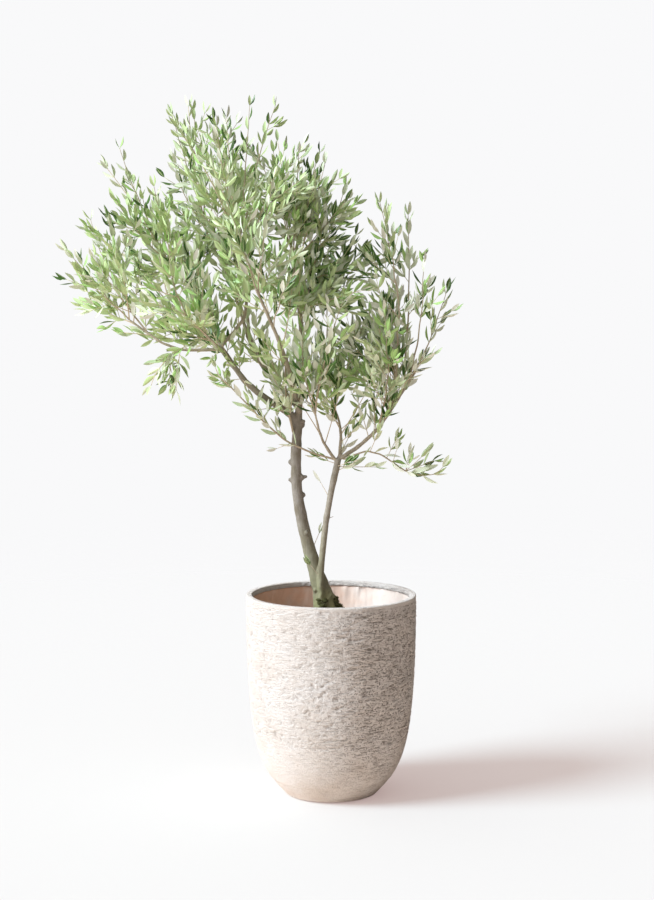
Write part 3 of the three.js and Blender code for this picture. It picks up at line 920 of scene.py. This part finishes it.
def branch(limb, tree, points, ways, order, tints, chance=1.0):
    """Side shoots along a shoot; whatever has no side shoot gets leaves."""
    run = run_along(points)
    length = run[-1]
    leaves_from = max(length - (0.13 if order == 0 else 0.085), 0.012)
    roll = rng.uniform(0, pi)
    mark = 0.022 if order == 0 else 0.026
    while mark < length - 0.045 and order < 2:
        spot = at_mark(mark, run, points)
        way = unit(at_mark(mark, run, ways))
        across, _ = frame_round(way, roll)
        for sense in (1, -1):
            likely = SIDE_CHANCE[order] * chance * np.interp(spot[2], [1.25, 1.5], [1, 0.8])
            if rng.random() > likely:
                continue
            lean = radians(rng.uniform(*SIDE_LEAN))
            out = unit(cos(lean) * way + sin(lean) * across * sense)
            wish = (0.42 * (length - mark) + (0.045 if order == 0 else 0.028)) * rng.uniform(0.7, 1.15)
            free = 1.05 * room(tree, spot, unit(out + [0, 0, 0.12]), 0.4) - 0.45 * LEAF if tree else wish
            reach = min(wish, free)
            side_points, side_ways = shoot_line(spot, out, max(reach, 0.02), 0.045)
            if reach < 0.02 or outside(side_points[-1], 0.01, 0.015):
                continue
            side_tints = spray_tints(limb) if order == 0 else tints
            add_twig(side_points, 0.0006, 0.0042, reach, 2 if reach < 0.09 else 1)
            if reach > FORK_REACH and order < 1:
                branch(limb, tree, side_points, side_ways, order + 1, side_tints)
            else:
                leafy(limb, side_points, side_ways, 0.016, 0.0, side_tints)
        roll += pi / 2 + rng.normal(0, 0.3)
        mark += SIDE_STEP[order] * rng.uniform(0.75, 1.25)
    leafy(limb, points, ways, leaves_from, 0.0, tints)


def aimed(bearing, rise):
    """A direction from a bearing and a rise in degrees."""
    a, b = radians(bearing), radians(rise)
    return np.array([cos(a) * cos(b), sin(a) * cos(b), sin(b)])


def limb_of(mass):
    """The limb that a foliage mass grows on."""
    return mass[len("leaves_"):].rsplit("_", 1)[0]


masses = [row["node"] for row in frame["record"]["subparts"] if row["material_slot"] == "foliage"]
for number, name in enumerate(masses):
    rng = default_rng([1, number])
    limb = limb_of(name)
    line, girth = lines[limb]
    points = node_points(name)
    ends = far_ends(points)
    gaps = [norm(line - end, axis=1) for end in ends]
    nearest = 0 if gaps[0].min() < gaps[1].min() else 1
    k = int(np.argmin(gaps[nearest]))
    foot, tip = line[k], ends[1 - nearest]
    faces = [tuple(face.vertices) for face in frame["nodes"][name].data.polygons]
    tree = BVHTree.FromPolygons(points.tolist(), faces)
    span = norm(tip - foot)
    outward = unit(tip - foot)
    tip = tip - outward * 0.72 * LEAF
    along = unit(line[min(k + 3, len(line) - 1)] - line[max(k - 3, 0)])
    bend = foot + unit(outward + 0.5 * along) * span * 0.42 + rng.normal(0, 0.012, 3) - [0, 0, 0.03 * span]
    t = np.linspace(0, 1, max(int(span / 0.012), 4))[:, None]
    leader = (1 - t) ** 2 * foot + 2 * t * (1 - t) * bend + t * t * tip
    leader = leader + np.array([[noise.noise(Vector(spot) * 22 + Vector((9 * a, 4, 2))) for a in range(3)]
                                for spot in leader]) * 0.006 * np.sin(pi * t)
    ways = directions(leader)
    thickness = np.minimum(0.0007 + 0.005 * np.linspace(span, 0, len(leader)), girth[k] * 0.9)
    twigs.append((leader, thickness, 0 if span > 0.2 else 1))
    branch(limb, tree, leader, ways, 0, spray_tints(limb), FULLNESS.get(name[len("leaves_"):], 1.0))
for number, (limb, (line, girth)) in enumerate(lines.items()):
    if limb in BARE:
        continue
    rng = default_rng([2, number])
    run = run_along(line)
    ways = np.gradient(line, axis=0)
    roll = rng.uniform(0, pi)
    first, chance, longest = FILL.get(limb, (0.3, 0.45, 0.13))
    mark = first * run[-1]
    while mark < run[-1]:
        k = int(np.argmin(abs(run - mark)))
        mark += FILL_STEP * rng.uniform(0.8, 1.25)
        across, _ = frame_round(unit(ways[k]), roll)
        roll += pi / 2 + rng.normal(0, 0.3)
        for sense in (1, -1):
            lean = radians(rng.uniform(*FILL_LEAN))
            out = unit(cos(lean) * unit(ways[k]) + sin(lean) * across * sense + [0, 0, 0.3])
            reach = longest * rng.uniform(0.5, 1.0)
            points, side_ways = shoot_line(line[k], out, reach, 0.05)
            bare = rng.random() > chance
            if bare or out[2] < 0.15 or girth[k] < 0.0013 or outside(points[-1], 0.03, 0.03):
                continue
            add_twig(points, 0.0007, 0.0052, reach, 1)
            branch(limb, None, points, side_ways, 1, spray_tints(limb))
for number, (limb, share, bearing, rise, reach, fullness) in enumerate(LONG_SHOOTS):
    rng = default_rng([3, number])
    line, girth = lines[limb]
    points, ways = shoot_line(line[int(share * (len(line) - 1))], aimed(bearing, rise), reach, 0.012)
    add_twig(points, 0.0007, 0.005, reach, 1)
    branch(limb, None, points, ways, 0, spray_tints(limb), fullness)
for number, (limb, share, bearing, rise, reach, pairs) in enumerate(SPROUTS):
    rng = default_rng([4, number])
    line, girth = lines[limb]
    sprout, ways = shoot_line(line[int(share * (len(line) - 1))], aimed(bearing, rise), reach, 0.03)
    add_twig(sprout, 0.0006, 0.006, reach, 1)
    if pairs:
        first = max(reach - (pairs - 1) * INTERNODE, 0.018)
        leafy(limb, sprout, ways, first, 0.012, spray_tints(limb), LEAF * 0.9)

thin = [name for name in wood_names if name not in thick]
for number, name in enumerate(thin):
    rng = default_rng([5, number])
    line, girth = lines[name]
    twigs.append((line, girth, 0))
    ways = directions(line)
    keep = 0.75 if name in ("sprig_right", "twig_left") else 0.36
    leafy(name, line, ways, 0.06, 0.06, spray_tints(name), LEAF * 0.95, keep)


def plain(name, code, roughness):
    """A plain-coloured leaf or twig material."""
    material, tree = new_material(name)
    surfaced(tree, linear(code), roughness)
    return material


twig_tints = [plain("old twig bark", "B9AA92", 0.85), plain("tan twig bark", "D6C5A9", 0.8),
              plain("green twig", "CBC79C", 0.7)]
regions = {
    "left": [n for n in wood_names if n.startswith("limb_left") or n in ("twig_left", "bough_left")],
    "top": [n for n in wood_names
            if n.startswith(("limb_top", "limb_middle", "bough_leader", "bough_middle"))],
    "front_and_back": ["bough_front", "bough_back", "trunk", "shoot_trunk"],
    "right": ["bough_right", "sprig_right", "shoot_inner", "shoot_middle", "second_stem"],
}
parts = []
for points, radii, age in twigs:
    verts, faces = tube(points, radii, 6 if radii[0] > 0.0016 else 5)
    parts.append((verts, faces, age))
twig_piece = joined("twigs", parts, twig_tints)
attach(twig_piece, "root")
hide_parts(*thin, *masses)


# ---- Leaves ----
# Narrow leathery olive leaves on short stalks, a few centimetres long, green on top with a
# pale midrib and silvery grey-green below, with the edges rolled slightly down. Each spray
# has its own greens. Every leaf is a thin closed blade in its own outline.
STATIONS = [0.0, 0.06, 0.17, 0.38, 0.62, 0.83]
HALF_WIDTHS = [0.05, 0.07, 0.56, 0.97, 0.95, 0.56]
CURLS = [(-0.1, 0.06), (0.02, 0.1), (0.11, 0.07), (-0.03, 0.13)]  # lengthwise, crosswise


def blade(curl, fold):
    """Corner points of a leaf one unit long, as [along, across, up], its faces, and what each
    face is (0 upper side, 1 midrib, 2 underside)."""
    verts = []
    for y, half in zip(STATIONS, HALF_WIDTHS):
        rise = curl * y * y
        rib = 0.1 * max(half, 0.3)
        for x in (-half, -rib, rib, half):
            verts.append([y, x, rise - fold * x * x + (0.012 if abs(x) == rib else 0.0)])
        verts.append([y, 0.0, rise - 0.02])
    verts.append([1.0, 0.0, curl])
    faces = [(0, 4, 3, 2, 1)]
    kinds = [1]
    tip = len(verts) - 1
    for row in range(len(STATIONS)):
        a = row * 5
        b = a + 5
        for k, kind in ((0, 0), (1, 1), (2, 0)):
            faces.append((a + k, a + k + 1, b + k + 1, b + k) if b < tip else (a + k, a + k + 1, tip))
            kinds.append(kind)
        for one, two in ((3, 4), (4, 0)):
            faces.append((a + one, a + two, b + two, b + one) if b < tip else (a + one, a + two, tip))
            kinds.append(2)
    return np.array(verts), faces, kinds


blades = [blade(*curl) for curl in CURLS]
codes = np.array([1, 0, 0, 2, 3] * len(STATIONS) + [4])  # edge, rib, rib, edge, keel, tip
leaf_tints = [plain("fresh green leaf", "C0D496", 0.42), plain("mid green leaf", "A3C878", 0.42),
              plain("deep green leaf", "456A2A", 0.40), plain("olive green leaf", "C0D2A8", 0.45),
              plain("pale green leaf", "DDE8C6", 0.48), plain("pale midrib", "D0DCA6", 0.5),
              plain("silver underside", "ECF1E2", 0.75), plain("grey-green underside", "DCE6CB", 0.75),
              plain("soft green underside", "C3D8A0", 0.72)]
for region, limbs in regions.items():
    rows = [row for row in leaf_rows if row[0] in limbs]
    parts = []
    for _, base, way, face, size, width, form, top, under in rows:
        unit_verts, faces, kinds = blades[form]
        across = np.cross(face, way)
        verts = base + size * (unit_verts[:, :1] * way + unit_verts[:, 1:2] * across * width * 0.5
                               + unit_verts[:, 2:] * face)
        parts.append((verts, faces, [(top, 5, 6 + under)[kind] for kind in kinds]))
    leaves = joined("leaves_" + region, parts, leaf_tints)
    a, b = [codes[ends % len(codes)] for ends in edge_ends(leaves.data)]
    rim = (a == b) & ((a == 1) | (a == 2))
    rim |= ((a == 4) & (b < 3) & (b > 0)) | ((b == 4) & (a < 3) & (a > 0))
    leaves.data.attributes.new("sharp_edge", "BOOLEAN", "EDGE").data.foreach_set("value", rim)
    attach(leaves, "root")
    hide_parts(*[mass for mass in masses if limb_of(mass) in limbs])
